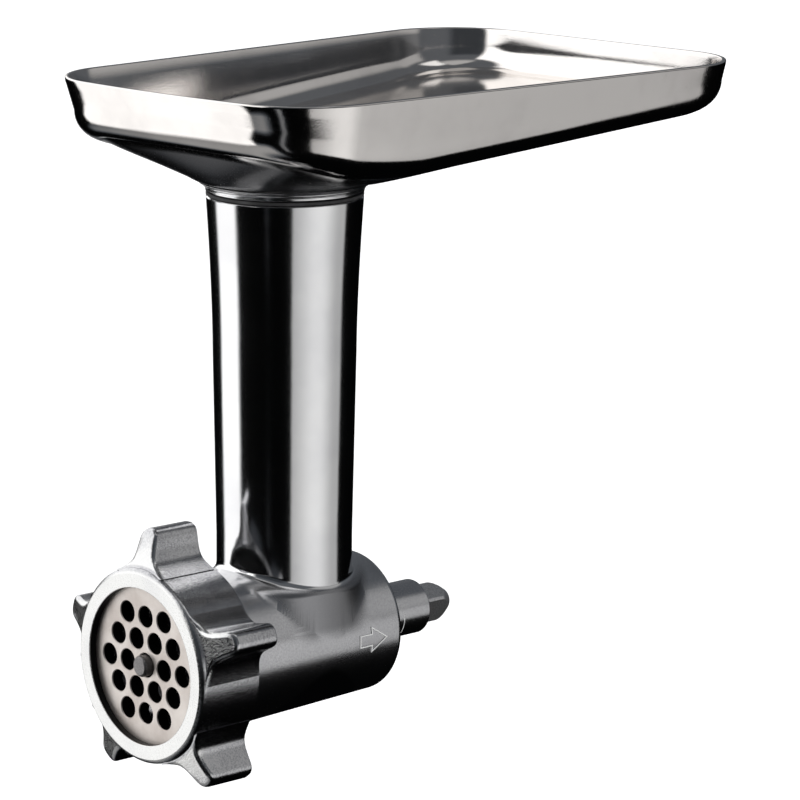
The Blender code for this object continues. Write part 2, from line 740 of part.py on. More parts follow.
def ring_nut():
    crest = THREAD_ROOT_R + THREAD_DEPTH + THREAD_SPACE
    lip_back = RING_FRONT_Y + RING_LIP
    edge = RING_R - RING_FACE_R
    outside = [
        (RING_OPEN_R, lip_back),
        (RING_OPEN_R, RING_FRONT_Y + 0.5 * MM),
        (RING_OPEN_R + 0.5 * MM, RING_FRONT_Y),
        (RING_FACE_R, RING_FRONT_Y),
        (RING_R, RING_FRONT_Y + edge),
        (RING_R, RING_BACK_Y - 0.6 * MM),
        (RING_R - 0.6 * MM, RING_BACK_Y),
        (crest, RING_BACK_Y),
    ]
    rows = thread_rows()
    inside = [(crest, lip_back)]
    verts = []
    for i in range(ROUND):
        angle = 2 * math.pi * i / ROUND
        verts += [along_y(r, y, angle) for r, y in outside]
        for y in reversed(rows):
            height = THREAD_DEPTH * (1 - thread_wave(y, angle)) * thread_fade(y)
            verts.append(along_y(crest - height, y, angle))
        verts += [along_y(r, y, angle) for r, y in inside]
    count = len(outside) + len(rows) + len(inside)
    ring = add_object("ring_nut", verts, grid_faces(ROUND, count, True), ring_metal)
    half = lobe_outline()
    outline = half + [(-x, z) for x, z in reversed(half)]
    lobes = bmesh.new()
    slope = LOBE_SLOPE / (LOBE_R - RING_R)
    for k in range(LOBES):
        turn = Matrix.Rotation(2 * math.pi * k / LOBES - math.radians(LOBE_TURN), 4, "Y")
        back = [lobes.verts.new(turn @ Vector((x, RING_BACK_Y - 0.9 * MM, z))) for x, z in outline]
        face = []
        for x, z in outline:
            y = RING_FRONT_Y + edge + 0.4 * MM + slope * (z - RING_R)
            face.append(lobes.verts.new(turn @ Vector((x, y, z))))
        n = len(outline)
        for i in range(n):
            j = (i + 1) % n
            lobes.faces.new((back[i], back[j], face[j], face[i]))
        lobes.faces.new(back)
        lobes.faces.new(face)
    bmesh.ops.recalc_face_normals(lobes, faces=lobes.faces)
    mesh = bpy.data.meshes.new("ring_lobes")
    lobes.to_mesh(mesh)
    lobes.free()
    tool = bpy.data.objects.new("ring_lobes", mesh)
    bpy.context.scene.collection.objects.link(tool)
    combine(ring, tool, "UNION")
    smooth(ring, 30.0)


ring_nut()

# Tray: rubber ring, turned neck and pressed pan
seal_inner = TUBE_SEAT_R - GAP / 3
revolve(
    "tray_seal_ring",
    [
        (seal_inner, SEAL_RING_Z),
        (TUBE_TOP_R, SEAL_RING_Z),
        (TUBE_TOP_R, SEAL_RING_Z + SEAL_RING_H),
        (seal_inner, SEAL_RING_Z + SEAL_RING_H),
    ],
    along_z,
    mat=ring_rubber,
)
sleeve_r = TUBE_SEAT_R - GAP - 0.1 * MM
sleeve_z = TUBE_TOP - TUBE_SEAT_H + GAP
collar_top = COLLAR_Z + NECK_COLLAR_H
collar_flare = NECK_TOP_R - NECK_FOOT_R
revolve(
    "tray_neck",
    [
        (NECK_BORE_R, sleeve_z),
        (sleeve_r, sleeve_z),
        (sleeve_r, COLLAR_Z),
        (NECK_FOOT_R - 0.3 * MM, COLLAR_Z),
        (NECK_FOOT_R, COLLAR_Z + 0.4 * MM),
        (NECK_FOOT_R + collar_flare * 0.12, COLLAR_Z + NECK_COLLAR_H * 0.4),
        (NECK_FOOT_R + collar_flare * 0.45, COLLAR_Z + NECK_COLLAR_H * 0.75),
        (NECK_TOP_R, collar_top),
        (NECK_BORE_R, collar_top),
    ],
    along_z,
    mat=neck_metal,
)


def corner_arc(before, corner, after, radius, steps):
    """Points of the round that replaces a corner of the tray."""
    one = (before - corner).normalized()
    two = (after - corner).normalized()
    half = one.angle(two) / 2
    centre = corner + (one + two).normalized() * radius / math.sin(half)
    first = corner + one * radius / math.tan(half) - centre
    last = corner + two * radius / math.tan(half) - centre
    sweep = first.angle(last)
    points = []
    for k in range(steps + 1):
        share = k / steps
        a = math.sin((1 - share) * sweep) / math.sin(sweep)
        b = math.sin(share * sweep) / math.sin(sweep)
        points.append(centre + first * a + last * b)
    return points


def tray_outline():
    """The outer edge of the rim seen from above, round the tube axis: (point, outward direction)."""
    front_w = TRAY_FRONT_W / 2
    rear_w = TRAY_REAR_W / 2
    corners = [
        Vector((front_w, -TRAY_FRONT, 0)),
        Vector((rear_w, TRAY_REAR, 0)),
        Vector((-rear_w, TRAY_REAR, 0)),
        Vector((-front_w, -TRAY_FRONT, 0)),
    ]
    radii = [FRONT_CORNER, REAR_CORNER, REAR_CORNER, FRONT_CORNER]
    arcs = []
    for k in range(4):
        arcs.append(corner_arc(corners[k - 1], corners[k], corners[(k + 1) % 4], radii[k], 6))
    points = []
    for k in range(4):
        points += arcs[k]
        start = arcs[k][-1]
        end = arcs[(k + 1) % 4][0]
        pieces = max(2, round((end - start).length / (11 * MM)))
        points += [start.lerp(end, s / pieces) for s in range(1, pieces)]
    for point in points:
        if point.y < 0:
            share = max(0.0, 1 - (point.x / front_w) ** 2)
            point.y -= TRAY_BOW * share * min(1.0, -point.y / (TRAY_FRONT - FRONT_CORNER))
    result = []
    n = len(points)
    for i in range(n):
        along = points[(i + 1) % n] - points[i - 1]
        result.append((points[i], Vector((along.y, -along.x, 0)).normalized()))
    return result


def floor_height(y):
    """The floor falls from both ends of the tray towards the throat."""
    if y < 0:
        return FLOOR_LOW_Z + (FLOOR_FRONT_Z - FLOOR_LOW_Z) * (y / TRAY_FRONT) ** 2
    return FLOOR_LOW_Z + (FLOOR_REAR_Z - FLOOR_LOW_Z) * y / TRAY_REAR


def tray_pan():
    turn = Matrix.Rotation(math.radians(TRAY_TURN), 4, "Z")
    axis = Vector((0, -TUBE_BACK, 0))
    seat = NECK_TOP_R
    bend_steps = 3
    verts = []
    outline = tray_outline()
    for rim, out in outline:
        floor_z = floor_height(rim.y)
        inward = rim.normalized()
        point = rim - out * BEAD
        share = (rim.y + TRAY_FRONT) / (TRAY_FRONT + TRAY_REAR)
        base = point - out * (DRAFT_FRONT + (DRAFT_REAR - DRAFT_FRONT) * share)
        lap = inward * (seat + 3.5 * MM)
        under = []
        upper = []
        for k in range(bend_steps + 1):
            turned = math.pi / 2 * k / bend_steps
            side = WALL_BEND * (1 - math.sin(turned))
            rise = WALL_BEND * (1 - math.cos(turned))
            under.append((base - out * side, floor_z + rise))
            side += SHEET * math.sin(turned)
            rise += SHEET * math.cos(turned)
            upper.append((base - out * side, floor_z + rise))
        section = [
            (inward * (NECK_BORE_R + GAP), PAN_Z),
            (inward * seat, PAN_Z),
            (lap, PAN_Z + 1.6 * MM),
            *under,
            (point, TRAY_RIM_Z - 2 * BEAD),
            (rim, TRAY_RIM_Z - 1.5 * BEAD),
            (rim, TRAY_RIM_Z - 0.5 * BEAD),
            (rim - out * 0.6 * BEAD, TRAY_RIM_Z),
            (point - out * (SHEET - 0.2 * BEAD), TRAY_RIM_Z),
            (point - out * SHEET, TRAY_RIM_Z - 0.6 * BEAD),
            *reversed(upper),
            (lap, PAN_Z + 1.6 * MM + SHEET),
            (inward * (seat - 0.5 * MM), PAN_Z + SHEET),
            (inward * (NECK_BORE_R + GAP), PAN_Z + SHEET),
        ]
        for spot, z in section:
            verts.append(axis + turn @ Vector((spot.x, spot.y, 0)) + Vector((0, 0, z)))
    faces = grid_faces(len(outline), len(section), True)
    pan = add_object("tray_pan", verts, faces, sheet_metal)
    smooth(pan, 50.0)


tray_pan()

axis_mark("auger_spin_axis", Vector((0, 0, 0)), Vector((0, 1, 0)))
axis_mark("ring_nut_axis", Vector((0, RING_FRONT_Y, 0)), Vector((0, -1, 0)))
axis_mark("tray_axis", Vector((0, -TUBE_BACK, TUBE_TOP)), Vector((0, 0, 1)))
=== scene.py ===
import math

import bpy
from mathutils import Matrix, Vector


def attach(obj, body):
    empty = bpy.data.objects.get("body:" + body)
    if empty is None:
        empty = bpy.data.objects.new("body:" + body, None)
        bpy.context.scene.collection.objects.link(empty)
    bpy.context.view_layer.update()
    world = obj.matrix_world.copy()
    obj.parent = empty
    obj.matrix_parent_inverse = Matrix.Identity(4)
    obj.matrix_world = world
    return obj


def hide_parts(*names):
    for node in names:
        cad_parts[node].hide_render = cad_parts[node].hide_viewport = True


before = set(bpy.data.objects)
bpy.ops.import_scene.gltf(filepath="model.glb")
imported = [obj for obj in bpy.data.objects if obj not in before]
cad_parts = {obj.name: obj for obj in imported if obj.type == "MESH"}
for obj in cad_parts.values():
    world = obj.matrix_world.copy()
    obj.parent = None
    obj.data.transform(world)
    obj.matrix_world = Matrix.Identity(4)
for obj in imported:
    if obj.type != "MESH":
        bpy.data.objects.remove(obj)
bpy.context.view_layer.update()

mm = 0.001
tubeY = -37.0  # millimetres, the feed tube's axis ahead of the rear shoulder
plateY = -104.0  # front face of the plate
nutFrontY = -107.2
nutBackY = -79.8


def clearSelection():
    if bpy.context.mode != "OBJECT":
        bpy.ops.object.mode_set(mode="OBJECT")
    bpy.ops.object.select_all(action="DESELECT")


def pick(piece):
    clearSelection()
    piece.select_set(True)
    bpy.context.view_layer.objects.active = piece


def settle(piece):  # its place goes into the mesh
    pick(piece)
    bpy.ops.object.transform_apply(location=True, rotation=True, scale=True)


def editAll(piece):
    pick(piece)
    bpy.ops.object.mode_set(mode="EDIT")
    bpy.ops.mesh.select_mode(type="VERT")
    bpy.ops.mesh.select_all(action="SELECT")


def endEdit():
    bpy.ops.object.mode_set(mode="OBJECT")


def applied(piece, kind, **settings):
    pick(piece)
    bpy.ops.object.modifier_add(type=kind)
    modifier = piece.modifiers[-1]
    for key, value in settings.items():
        setattr(modifier, key, value)
    bpy.ops.object.modifier_apply(modifier=modifier.name)


def joined(piece, tool, way):  # a boolean with a tool that is then thrown away
    applied(piece, "BOOLEAN", operation=way, solver="EXACT", object=tool)
    bpy.data.objects.remove(tool, do_unlink=True)


def edgesRounded(piece, width, segments=3, degrees=40):
    applied(
        piece,
        "BEVEL",
        width=width * mm,
        segments=segments,
        limit_method="ANGLE",
        angle_limit=math.radians(degrees),
        use_clamp_overlap=True,
    )


def smoothed(piece, degrees=35, weighted=True):
    pick(piece)
    bpy.ops.object.shade_smooth_by_angle(angle=math.radians(degrees))
    if weighted:  # flats stay flat beside small rounded edges
        applied(piece, "WEIGHTED_NORMAL", weight=60, keep_sharp=True)


def finished(piece, body, slot, material, *nodes):
    piece.data.materials.clear()
    piece.data.materials.append(material)
    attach(piece, body)
    if nodes:
        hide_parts(*nodes)


def turned(name, stations, upright=False, sides=128, ring=True):
    # a circle pulled along its axis, station by station; each is (radius, place) in mm
    def spot(place):
        return Vector((0, tubeY, place)) * mm if upright else Vector((0, place, 0)) * mm

    clearSelection()
    radius, place = stations[0]
    bpy.ops.mesh.primitive_circle_add(
        vertices=sides,
        radius=radius * mm,
        location=spot(place),
        rotation=(0, 0, 0) if upright else (math.pi / 2, 0, 0),
    )
    piece = bpy.context.object
    piece.name = name
    settle(piece)
    editAll(piece)
    for (oldRadius, oldPlace), (radius, place) in zip(stations, stations[1:]):
        bpy.ops.mesh.extrude_region_move(TRANSFORM_OT_translate={"value": spot(place) - spot(oldPlace)})
        grow = radius / oldRadius
        if abs(grow - 1) > 1e-9:
            size = (grow, grow, 1) if upright else (grow, 1, grow)
            bpy.ops.transform.resize(value=size, center_override=spot(place))
    bpy.ops.mesh.select_all(action="DESELECT")
    bpy.ops.mesh.select_non_manifold()
    if ring:
        bpy.ops.mesh.bridge_edge_loops()
    else:
        bpy.ops.mesh.fill_holes(sides=0)
    bpy.ops.mesh.select_all(action="SELECT")
    bpy.ops.mesh.normals_make_consistent(inside=False)
    endEdit()
    return piece


def tidyNormals(piece):
    editAll(piece)
    bpy.ops.mesh.normals_make_consistent(inside=False)
    endEdit()


def pillar(name, outline, first, last, layers=1):
    # a flat outline of (x, z) in mm, pulled along Y
    clearSelection()
    bpy.ops.mesh.primitive_circle_add(vertices=len(outline), radius=mm)
    piece = bpy.context.object
    piece.name = name
    for vertex, (x, z) in zip(piece.data.vertices, outline):
        vertex.co = Vector((x, first, z)) * mm
    editAll(piece)
    step = (last - first) / layers * mm
    for _ in range(layers):
        bpy.ops.mesh.extrude_region_move(TRANSFORM_OT_translate={"value": (0, step, 0)})
    bpy.ops.mesh.select_all(action="DESELECT")
    bpy.ops.mesh.select_non_manifold()
    bpy.ops.mesh.fill_holes(sides=0)
    endEdit()
    tidyNormals(piece)
    return piece


class Val:  # a socket that takes part in sums
    def __init__(self, finish, socket):
        self.finish = finish
        self.socket = socket

    def maths(self, kind, other, swapped=False):
        pair = {0: other, 1: self} if swapped else {0: self, 1: other}
        return self.finish.node("ShaderNodeMath", {"operation": kind}, pair)

    def __add__(self, other):
        return self.maths("ADD", other)

    def __sub__(self, other):
        return self.maths("SUBTRACT", other)

    def __rsub__(self, other):
        return self.maths("SUBTRACT", other, True)

    def __mul__(self, other):
        return self.maths("MULTIPLY", other)

    __radd__ = __add__
    __rmul__ = __mul__


class Finish:
    def __init__(self, owner, name, **values):
        self.owner = owner.new(name)
        self.owner.use_nodes = True
        self.tree = self.owner.node_tree
        self.shader = self.tree.nodes.get("Principled BSDF")
        for key, value in values.items():
            self.shader.inputs[key.replace("_", " ")].default_value = value

    def feed(self, socket, value):
        if isinstance(value, Val):
            self.tree.links.new(value.socket, socket)
        else:
            socket.default_value = value

    def node(self, kind, settings=None, inputs=None, out=0):
        made = self.tree.nodes.new(kind)
        for key, value in (settings or {}).items():
            setattr(made, key, value)
        for key, value in (inputs or {}).items():
            self.feed(made.inputs[key], value)
        return Val(self, made.outputs[out])

    def place(self, size=(1, 1, 1)):
        spot = self.node("ShaderNodeTexCoord", out=3)
        if size == (1, 1, 1):
            return spot
        return self.node("ShaderNodeMapping", None, {"Vector": spot, "Scale": size})

    def along(self, axis):
        return self.node("ShaderNodeSeparateXYZ", None, {0: self.place()}, axis)

    def noise(self, scale, detail=3.0, rough=0.55, size=(1, 1, 1), warp=0.0):
        links = {"Vector": self.place(size), "Scale": scale, "Detail": detail, "Roughness": rough}
        links["Distortion"] = warp
        return self.node("ShaderNodeTexNoise", None, links)

    def spread(self, value, low, high, first=0.0, last=1.0):
        links = {0: value, 1: low, 2: high, 3: first, 4: last}
        return self.node("ShaderNodeMapRange", {"interpolation_type": "SMOOTHSTEP"}, links)

    def blend(self, share, one, two):
        settings = {"data_type": "RGBA"}
        links = {0: share, 6: (*one, 1) if isinstance(one, tuple) else one}
        links[7] = (*two, 1) if isinstance(two, tuple) else two
        return self.node("ShaderNodeMix", settings, links, 2)

    def bump(self, height, distance, strength=1.0, under=None):
        links = {"Height": height, "Distance": distance, "Strength": strength}
        if under:
            links["Normal"] = under
        return self.node("ShaderNodeBump", None, links)

    def wear(self, colour=None, rough=None, normal=None):
        if colour:
            self.feed(self.shader.inputs["Base Color"], colour)
        if rough:
            self.feed(self.shader.inputs["Roughness"], rough)
        if normal:
            self.feed(self.shader.inputs["Normal"], normal)
        return self.owner


materials = bpy.data.materials


def castFinish():
    look = {"light": (0.82, 0.82, 0.82), "dull": (0.74, 0.74, 0.75), "grain": 0.00003}
    f = Finish(materials, "castAluminium", Metallic=1.0)
    cloud = f.noise(28, 4)
    grain = f.noise(2600, 2, 0.6)
    lines = f.noise(700, 3, 0.6, (1, 0.15, 1))
    wave = f.noise(60, 2)
    colour = f.blend(f.spread(cloud, 0.35, 0.7), look["light"], look["dull"])
    x, y, z = (f.along(k) for k in range(3))
    behind = y - tubeY * mm
    fromTube = (x * x + behind * behind).maths("POWER", 0.5)
    fromBarrel = (x * x + z * z).maths("POWER", 0.5)
    satin = f.spread(fromTube, 25.9 * mm, 27.3 * mm) * f.spread(z, 30 * mm, 44 * mm, 1.0, 0.0)
    patches = f.spread(f.noise(1500, 3, 0.7), 0.35, 0.7)
    colour = f.blend(satin * (0.45 + 0.45 * patches), colour, (0.56, 0.56, 0.58))
    # painted shade: the foot of the tube is painted darker, standing in for the shade that falls there; it is
    # also made rougher
    foot = f.spread(fromTube, 25.8 * mm, 26.8 * mm) * f.spread(fromTube, 28.5 * mm, 33 * mm, 1.0, 0.0)
    foot = foot * f.spread(z, 2 * mm, 9 * mm) * f.spread(z, 22 * mm, 27 * mm, 1.0, 0.0)
    colour = f.blend(0.85 * foot, colour, (0.24, 0.24, 0.25))
    rough = 0.075 + 0.09 * satin + 0.03 * f.spread(cloud, 0.3, 0.75) + 0.05 * grain
    height = 0.55 * grain + 0.35 * lines + satin * (0.5 * grain + 0.5 * patches)
    rough = rough + 0.1 * foot
    normal = f.bump(height, look["grain"], 0.4, f.bump(wave, 0.0005, 0.1))

    # painted highlight: the arrow's raised outline is painted bright and less metallic, standing in for the
    # glint along its edges; three thin arcs on the spigot are painted bright the same way
    proud = fromBarrel + 0.03 * y - 27.0 * mm
    edge = f.spread(proud, 0.06 * mm, 0.14 * mm) * f.spread(proud, 0.6 * mm, 0.7 * mm, 1.0, 0.0)
    edge = edge * f.spread(y, -26 * mm, -25 * mm) * f.spread(y, -7 * mm, -6 * mm, 1.0, 0.0)
    edge = edge * f.spread(z, 6 * mm, 6.5 * mm, 1.0, 0.0)
    warped = y + 0.002 * f.noise(150, 2) + 0.06 * z
    for ring in (7.6, 12.2, 16.4):
        near = (warped - ring * mm).maths("ABSOLUTE", 0.0)
        mark = f.spread(near, 0.1 * mm, 0.35 * mm, 1.0, 0.0) * f.spread(f.noise(330, 2), 0.42, 0.5)
        mark = mark * f.spread(z, -1 * mm, 2 * mm, 1.0, 0.0)
        mark = mark * f.spread(fromBarrel, 11 * mm, 12 * mm, 1.0, 0.0)
        edge = edge + 0.7 * mark
    f.feed(f.shader.inputs["Metallic"], 1.0 - 0.75 * edge)
    colour = f.blend(edge, colour, (0.95, 0.95, 0.94))
    return f.wear(colour, rough + 0.3 * edge, normal)


def nutFinish():
    look = {"light": (0.60, 0.60, 0.61), "dull": (0.42, 0.42, 0.44)}
    look["face"] = (0.76, 0.76, 0.75)
    look["faceDull"] = (0.70, 0.70, 0.70)
    f = Finish(materials, "turnedNut", Metallic=1.0)
    grain = f.noise(2200, 2, 0.6)
    cloud = f.noise(45, 3)
    patches = f.spread(f.noise(1400, 3, 0.7), 0.4, 0.65)
    x, y, z = (f.along(k) for k in range(3))
    radius = (x * x + z * z).maths("POWER", 0.5)
    face = f.spread(y, -107.1 * mm, -106.2 * mm, 1.0, 0.0)
    sides = f.blend(f.spread(cloud + 0.3 * patches, 0.4, 0.9), look["light"], look["dull"])
    front = f.blend(f.spread(cloud, 0.4, 0.7), look["face"], look["faceDull"])
    lobes = f.spread(radius, 37 * mm, 38 * mm) * f.spread(y, -105 * mm, -99 * mm, 1.0, 0.0)
    colour = f.blend(face.maths("MAXIMUM", lobes), sides, front)
    # painted shade: the wall inside the opening is painted near black behind its turned edge, where shade
    # falls
    inside = f.spread(radius, 29.6 * mm, 29.9 * mm, 1.0, 0.0) * f.spread(y, -107.0 * mm, -106.7 * mm)
    colour = f.blend(inside, colour, (0.02, 0.02, 0.02))
    rough = 0.11 + 0.08 * grain + 0.1 * face + 0.05 * patches + 0.3 * inside
    normal = f.bump(grain + patches, 0.00003, 0.5, f.bump(f.noise(90, 2), 0.0003, 0.2))
    return f.wear(colour, rough, normal)


def trayFinish():
    look = {"light": (0.82, 0.79, 0.765), "dull": (0.71, 0.68, 0.66)}
    f = Finish(materials, "polishedTraySteel", Metallic=1.0)
    cloud = f.noise(22, 4, 0.6)
    grain = f.noise(1500, 3, 0.65)
    streaks = f.noise(260, 3, 0.6, (1, 1, 0.12))
    specks = f.spread(f.noise(900, 1), 0.7, 0.78)
    colour = f.blend(f.spread(cloud, 0.4, 0.75), look["light"], look["dull"])
    # painted shade: the tray's lower face by the neck is painted dark and made rougher, standing in for the
    # shade there
    under = f.node("ShaderNodeAttribute", {"attribute_name": "paintedUnderShade"}, out=2)
    colour = f.blend(under, colour, (0.2, 0.2, 0.21))
    rough = 0.055 + 0.06 * f.spread(cloud, 0.35, 0.75) + 0.05 * streaks + 0.12 * specks + 0.14 * under
    slow = f.bump(f.noise(16, 1.5), 0.0016, 0.35)
    normal = f.bump(grain, 0.00003, 0.45, slow)
    return f.wear(colour, rough, normal)


def neckFinish():
    f = Finish(materials, "turnedNeck", Metallic=1.0)
    height = f.node("ShaderNodeMath", {"operation": "SINE"}, {0: f.along(2) * 9000.0})
    cloud = f.noise(80, 3)
    colour = f.blend(cloud, (0.88, 0.88, 0.88), (0.70, 0.70, 0.71))
    rough = 0.12 + 0.1 * cloud + 0.03 * height
    return f.wear(colour, rough, f.bump(height + f.noise(1500, 2), 0.00003, 0.5))


def plateFinish():
    look = {"warm": (0.62, 0.56, 0.52), "pale": (0.76, 0.71, 0.67)}
    f = Finish(materials, "groundPlateSteel", Metallic=1.0)
    cloud = f.noise(70, 4, 0.6)
    grain = f.noise(3000, 2, 0.6)
    marks = f.noise(1400, 3, 0.6, (1, 1, 0.08))
    colour = f.blend(f.spread(cloud + 0.35 * grain, 0.45, 0.9), look["pale"], look["warm"])
    # painted shade: from just behind the front face the plate is painted near black, standing in for the
    # shade inside its holes
    paintedDepthShade = f.spread(f.along(1), (plateY + 0.15) * mm, (plateY + 0.6) * mm)
    colour = f.blend(paintedDepthShade, colour, (0.012, 0.011, 0.01))
    rough = 0.36 + 0.12 * cloud + 0.1 * marks + 0.3 * paintedDepthShade
    return f.wear(colour, rough, f.bump(marks + 0.6 * grain, 0.00005, 0.6))


def steelFinish(name, light, dull, roughness, grainScale=1800.0, depth=0.00008):
    f = Finish(materials, name, Metallic=1.0)
    cloud = f.noise(90, 4, 0.6)
    grain = f.noise(grainScale, 3, 0.7)
    specks = f.spread(grain, 0.42, 0.62)
    colour = f.blend(0.5 * cloud + 0.5 * specks, light, dull)
    rough = roughness + 0.14 * cloud + 0.1 * specks
    return f.wear(colour, rough, f.bump(grain, depth, 0.6))


def plasticFinish(name, one, two, roughness):
    f = Finish(materials, name, Metallic=0.0)
    cloud = f.noise(120, 4, 0.6)
    fine = f.noise(1800, 2)
    colour = f.blend(f.spread(cloud, 0.35, 0.7), one, two)
    return f.wear(colour, roughness + 0.15 * fine, f.bump(fine + cloud, 0.00006, 0.5))


castMetal = castFinish()
nutMetal = nutFinish()
traySteel = trayFinish()
neckMetal = neckFinish()
plateSteel = plateFinish()
shankSteel = steelFinish("sinteredShank", (0.86, 0.86, 0.87), (0.5, 0.5, 0.51), 0.36, 1500.0, 0.0001)
studSteel = steelFinish("studSteel", (0.30, 0.29, 0.29), (0.16, 0.155, 0.155), 0.34)
knifeSteel = steelFinish("knifeSteel", (0.60, 0.60, 0.61), (0.40, 0.40, 0.42), 0.26)
augerMetal = steelFinish("augerAluminium", (0.72, 0.72, 0.73), (0.52, 0.52, 0.54), 0.34, 1300.0)
pinSteel = steelFinish("pinSteel", (0.62, 0.62, 0.63), (0.45, 0.45, 0.46), 0.24)
bushPlastic = plasticFinish("bushPlastic", (0.80, 0.78, 0.71), (0.70, 0.68, 0.61), 0.38)
sealRubber = plasticFinish("sealRubber", (0.02, 0.02, 0.021), (0.045, 0.045, 0.046), 0.55)
print("materials ready")

# hidden pieces keep their CAD shape and get their finish
carried = {
    "auger_screw": augerMetal,
    "knife": knifeSteel,
    "plate_key": pinSteel,
    "shank_pin": pinSteel,
    "rear_bush": bushPlastic,
    "thrust_washer": bushPlastic,
    "shaft_seal": sealRubber,
}
for node, material in carried.items():
    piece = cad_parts[node]
    for slotPlace in piece.material_slots:
        slotPlace.material = material
    weld = piece.modifiers.new("weld", "WELD")
    weld.merge_threshold = 0.000005
    for polygon in piece.data.polygons:
        polygon.use_smooth = True
    split = piece.modifiers.new("edges", "EDGE_SPLIT")
    split.split_angle = math.radians(38)

# casting, in mm
castingSizes = {
    "rearRadius": 27.0,
    "taper": 0.03,
    "rearEdge": 3.0,
    "threadRoot": 33.0,
    "threadDepth": 1.1,
    "threadLead": 4.0,
    "threadFront": -101.8,
    "threadLength": 12.0,
    "mouth": -102.8,
    "boreRadius": 23.9,
    "tubeFoot": 25.6,
    "tubeWaist": 26.9,
    "tubeTop": 29.4,
    "tubeBore": 22.6,
    "tubeSeat": 26.0,
    "top": 168.5,
    "frontFoot": 11.0,
    "rearFoot": 6.5,
    "sideFoot": 2.35,
    "sideDrop": 4.5,
    "spigot": 10.6,
}


def barrelRadius(y):
    return castingSizes["rearRadius"] - castingSizes["taper"] * y


def threadHeight(y, angle):
    c = castingSizes
    run = y - c["threadFront"]
    fade = max(0.0, min(1.0, min(run, c["threadLength"] - run) / (c["threadLead"] / 2)))
    return fade * (0.5 - 0.5 * math.cos(2 * math.pi * run / c["threadLead"] + angle))


def cutThread(piece, rootRadius, outwards):
    c = castingSizes
    for vertex in piece.data.vertices:
        x, y, z = vertex.co / mm
        radius = math.hypot(x, z)
        if abs(radius - rootRadius) < 0.05 and c["threadFront"] < y < c["threadFront"] + c["threadLength"]:
            height = threadHeight(y, math.atan2(z, x))
            height = height if outwards else height - 1
            fade = max(0.0, min(1.0, min(y - c["threadFront"], c["threadFront"] + c["threadLength"] - y) / 2))
            step = c["threadDepth"] * (height if outwards else height * fade)
            vertex.co.x *= (radius + step) / radius
            vertex.co.z *= (radius + step) / radius


def softened(points, reaches, steps):
    # each inner corner of a section becomes a short curve
    result = [points[0]]
    for before, corner, after, reach in zip(points, points[1:], points[2:], reaches):
        one, two = before - corner, after - corner
        size = min(reach, one.length * 0.48, two.length * 0.48)
        start, end = corner + one.normalized() * size, corner + two.normalized() * size
        for k in range(steps + 1):
            s = k / steps
            result.append(start * (1 - s) ** 2 + corner * 2 * s * (1 - s) + end * s**2)
    return result + [points[-1]]


def footPoints(angle):
    # (distance from the tube's axis, height): from just under the barrel's skin up to the tube's wall.
    # Ahead and behind it is a plain fillet; at the sides the cast foot fills out to the barrel's side.
    c = castingSizes
    side = math.cos(angle) ** 2
    ahead = 0.5 - 0.5 * math.sin(angle)
    foot = c["tubeFoot"]
    reach = (c["rearFoot"] + (c["frontFoot"] - c["rearFoot"]) * ahead) * (1 - side) + c["sideFoot"] * side
    radius = barrelRadius(tubeY + (foot + reach) * math.sin(angle)) - 0.01
    low = Vector((foot + reach, math.sqrt(radius**2 - ((foot + reach) * math.cos(angle)) ** 2)))
    corner = Vector((foot, barrelRadius(tubeY + foot * math.sin(angle)) - c["sideDrop"] * side))
    shoulder = corner + Vector((reach * (0.5 + 0.14 * side), (low.y - corner.y) * (0.5 - 0.42 * side)))
    wall = Vector((foot, 39.0))
    return softened([low, shoulder, corner, wall], [4.0, 6.5 - 3.0 * side], 8)


def shrunk(outline, size):
    corners = [Vector(point) for point in outline]
    result = []
    for k, corner in enumerate(corners):
        one = (corner - corners[k - 1]).normalized()
        two = (corners[(k + 1) % len(corners)] - corner).normalized()
        across = Vector((-one.y - two.y, one.x + two.x)) / (1 + one.dot(two))
        result.append(corner + across * size)
    return [tuple(point) for point in result]


def tubeRadius(z):
    c = castingSizes
    waist = c["top"] - 58.5
    if z < waist:
        return c["tubeFoot"] + (c["tubeWaist"] - c["tubeFoot"]) * (z - 40) / (waist - 40)
    return c["tubeWaist"] + (c["tubeTop"] - c["tubeWaist"]) * ((z - waist) / 58.5) ** 1.6


